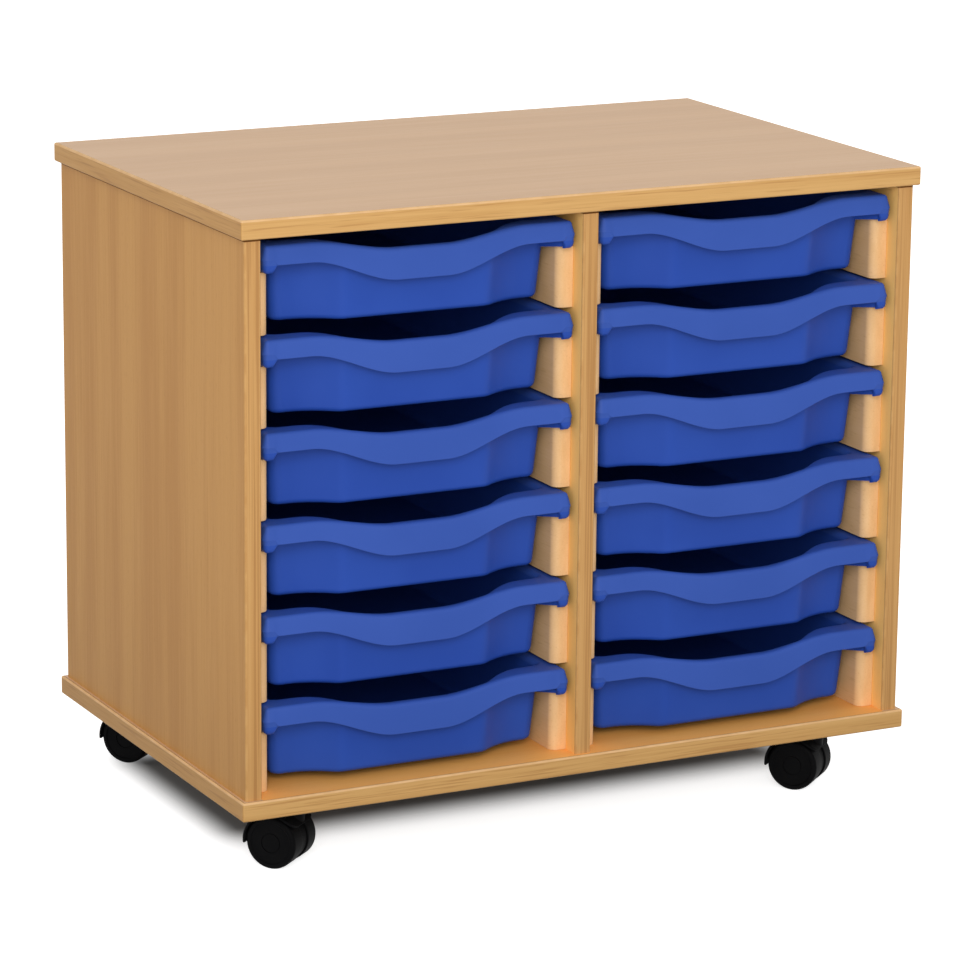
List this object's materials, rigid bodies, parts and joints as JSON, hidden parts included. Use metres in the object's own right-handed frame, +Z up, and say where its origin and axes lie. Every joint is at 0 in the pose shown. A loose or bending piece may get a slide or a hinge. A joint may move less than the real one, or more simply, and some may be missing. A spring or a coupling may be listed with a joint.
{
  "type": "classroom tray storage unit",
  "caption": "Mobile classroom tray unit: an open beech-faced cabinet on hooded castors, with shallow plastic trays that hang by their rims and slide on wooden runner blocks.",
  "frame": {"origin": "on the floor under the middle of the cabinet", "axes": "+X to the right along the width, +Y to the back (the open front faces -Y), +Z up"},
  "size_m": [0.7, 0.45, 0.617],
  "materials": {
    "beech_board": "satin beech-effect board",
    "beech_block": "lacquered solid beech",
    "tray_plastic": "satin moulded plastic",
    "castor_plastic": "moulded black nylon",
    "castor_steel": "zinc-plated"
  },
  "bodies": {
    "cabinet": {"top_panel": "beech_board", "base_panel": "beech_board", "left_side": "beech_board", "right_side": "beech_board", "centre_divider": "beech_board", "back_panel": "beech_board", "runner_c1_left_1": "beech_block", "runner_c1_right_1": "beech_block", "runner_c1_left_2": "beech_block", "runner_c1_right_2": "beech_block", "runner_c1_left_3": "beech_block", "runner_c1_right_3": "beech_block", "runner_c1_left_4": "beech_block", "runner_c1_right_4": "beech_block", "runner_c1_left_5": "beech_block", "runner_c1_right_5": "beech_block", "runner_c1_left_6": "beech_block", "runner_c1_right_6": "beech_block", "runner_c2_left_1": "beech_block", "runner_c2_right_1": "beech_block", "runner_c2_left_2": "beech_block", "runner_c2_right_2": "beech_block", "runner_c2_left_3": "beech_block", "runner_c2_right_3": "beech_block", "runner_c2_left_4": "beech_block", "runner_c2_right_4": "beech_block", "runner_c2_left_5": "beech_block", "runner_c2_right_5": "beech_block", "runner_c2_left_6": "beech_block", "runner_c2_right_6": "beech_block", "castor_front_left_plate": "castor_steel", "castor_front_right_plate": "castor_steel", "castor_rear_left_plate": "castor_steel", "castor_rear_right_plate": "castor_steel"},
    "tray_c1_1": {"tray_c1_1": "tray_plastic"},
    "tray_c1_2": {"tray_c1_2": "tray_plastic"},
    "tray_c1_3": {"tray_c1_3": "tray_plastic"},
    "tray_c1_4": {"tray_c1_4": "tray_plastic"},
    "tray_c1_5": {"tray_c1_5": "tray_plastic"},
    "tray_c1_6": {"tray_c1_6": "tray_plastic"},
    "tray_c2_1": {"tray_c2_1": "tray_plastic"},
    "tray_c2_2": {"tray_c2_2": "tray_plastic"},
    "tray_c2_3": {"tray_c2_3": "tray_plastic"},
    "tray_c2_4": {"tray_c2_4": "tray_plastic"},
    "tray_c2_5": {"tray_c2_5": "tray_plastic"},
    "tray_c2_6": {"tray_c2_6": "tray_plastic"},
    "castor_front_left": {"castor_front_left_hood": "castor_plastic"},
    "castor_front_left_wheel_a": {"castor_front_left_wheel_a": "castor_plastic"},
    "castor_front_left_wheel_b": {"castor_front_left_wheel_b": "castor_plastic"},
    "castor_front_right": {"castor_front_right_hood": "castor_plastic"},
    "castor_front_right_wheel_a": {"castor_front_right_wheel_a": "castor_plastic"},
    "castor_front_right_wheel_b": {"castor_front_right_wheel_b": "castor_plastic"},
    "castor_rear_left": {"castor_rear_left_hood": "castor_plastic"},
    "castor_rear_left_wheel_a": {"castor_rear_left_wheel_a": "castor_plastic"},
    "castor_rear_left_wheel_b": {"castor_rear_left_wheel_b": "castor_plastic"},
    "castor_rear_right": {"castor_rear_right_hood": "castor_plastic"},
    "castor_rear_right_wheel_a": {"castor_rear_right_wheel_a": "castor_plastic"},
    "castor_rear_right_wheel_b": {"castor_rear_right_wheel_b": "castor_plastic"}
  },
  "joints": [
    {"name": "tray_c1_1_slide", "type": "slide", "parent": "cabinet", "child": "tray_c1_1", "axis": [0, -1, 0], "range_m": [0, 0.33]},
    {"name": "tray_c1_2_slide", "type": "slide", "parent": "cabinet", "child": "tray_c1_2", "axis": [0, -1, 0], "range_m": [0, 0.33]},
    {"name": "tray_c1_3_slide", "type": "slide", "parent": "cabinet", "child": "tray_c1_3", "axis": [0, -1, 0], "range_m": [0, 0.33]},
    {"name": "tray_c1_4_slide", "type": "slide", "parent": "cabinet", "child": "tray_c1_4", "axis": [0, -1, 0], "range_m": [0, 0.33]},
    {"name": "tray_c1_5_slide", "type": "slide", "parent": "cabinet", "child": "tray_c1_5", "axis": [0, -1, 0], "range_m": [0, 0.33]},
    {"name": "tray_c1_6_slide", "type": "slide", "parent": "cabinet", "child": "tray_c1_6", "axis": [0, -1, 0], "range_m": [0, 0.33]},
    {"name": "tray_c2_1_slide", "type": "slide", "parent": "cabinet", "child": "tray_c2_1", "axis": [0, -1, 0], "range_m": [0, 0.33]},
    {"name": "tray_c2_2_slide", "type": "slide", "parent": "cabinet", "child": "tray_c2_2", "axis": [0, -1, 0], "range_m": [0, 0.33]},
    {"name": "tray_c2_3_slide", "type": "slide", "parent": "cabinet", "child": "tray_c2_3", "axis": [0, -1, 0], "range_m": [0, 0.33]},
    {"name": "tray_c2_4_slide", "type": "slide", "parent": "cabinet", "child": "tray_c2_4", "axis": [0, -1, 0], "range_m": [0, 0.33]},
    {"name": "tray_c2_5_slide", "type": "slide", "parent": "cabinet", "child": "tray_c2_5", "axis": [0, -1, 0], "range_m": [0, 0.33]},
    {"name": "tray_c2_6_slide", "type": "slide", "parent": "cabinet", "child": "tray_c2_6", "axis": [0, -1, 0], "range_m": [0, 0.33]},
    {"name": "castor_front_left_swivel", "type": "hinge", "parent": "cabinet", "child": "castor_front_left", "pos_m": [-0.278, -0.177, 0.05], "axis": [0, 0, 1], "continuous": true},
    {"name": "castor_front_left_wheel_a_spin", "type": "hinge", "parent": "castor_front_left", "child": "castor_front_left_wheel_a", "pos_m": [-0.28636, -0.16704, 0.025], "axis": [-0.766, -0.6428, 0], "continuous": true},
    {"name": "castor_front_left_wheel_b_spin", "type": "hinge", "parent": "castor_front_left", "child": "castor_front_left_wheel_b", "pos_m": [-0.28636, -0.16704, 0.025], "axis": [-0.766, -0.6428, 0], "continuous": true},
    {"name": "castor_front_right_swivel", "type": "hinge", "parent": "cabinet", "child": "castor_front_right", "pos_m": [0.278, -0.177, 0.05], "axis": [0, 0, 1], "continuous": true},
    {"name": "castor_front_right_wheel_a_spin", "type": "hinge", "parent": "castor_front_right", "child": "castor_front_right_wheel_a", "pos_m": [0.26964, -0.16704, 0.025], "axis": [-0.766, -0.6428, 0], "continuous": true},
    {"name": "castor_front_right_wheel_b_spin", "type": "hinge", "parent": "castor_front_right", "child": "castor_front_right_wheel_b", "pos_m": [0.26964, -0.16704, 0.025], "axis": [-0.766, -0.6428, 0], "continuous": true},
    {"name": "castor_rear_left_swivel", "type": "hinge", "parent": "cabinet", "child": "castor_rear_left", "pos_m": [-0.278, 0.177, 0.05], "axis": [0, 0, 1], "continuous": true},
    {"name": "castor_rear_left_wheel_a_spin", "type": "hinge", "parent": "castor_rear_left", "child": "castor_rear_left_wheel_a", "pos_m": [-0.28636, 0.18696, 0.025], "axis": [-0.766, -0.6428, 0], "continuous": true},
    {"name": "castor_rear_left_wheel_b_spin", "type": "hinge", "parent": "castor_rear_left", "child": "castor_rear_left_wheel_b", "pos_m": [-0.28636, 0.18696, 0.025], "axis": [-0.766, -0.6428, 0], "continuous": true},
    {"name": "castor_rear_right_swivel", "type": "hinge", "parent": "cabinet", "child": "castor_rear_right", "pos_m": [0.278, 0.177, 0.05], "axis": [0, 0, 1], "continuous": true},
    {"name": "castor_rear_right_wheel_a_spin", "type": "hinge", "parent": "castor_rear_right", "child": "castor_rear_right_wheel_a", "pos_m": [0.26964, 0.18696, 0.025], "axis": [-0.766, -0.6428, 0], "continuous": true},
    {"name": "castor_rear_right_wheel_b_spin", "type": "hinge", "parent": "castor_rear_right", "child": "castor_rear_right_wheel_b", "pos_m": [0.26964, 0.18696, 0.025], "axis": [-0.766, -0.6428, 0], "continuous": true}
  ]
}
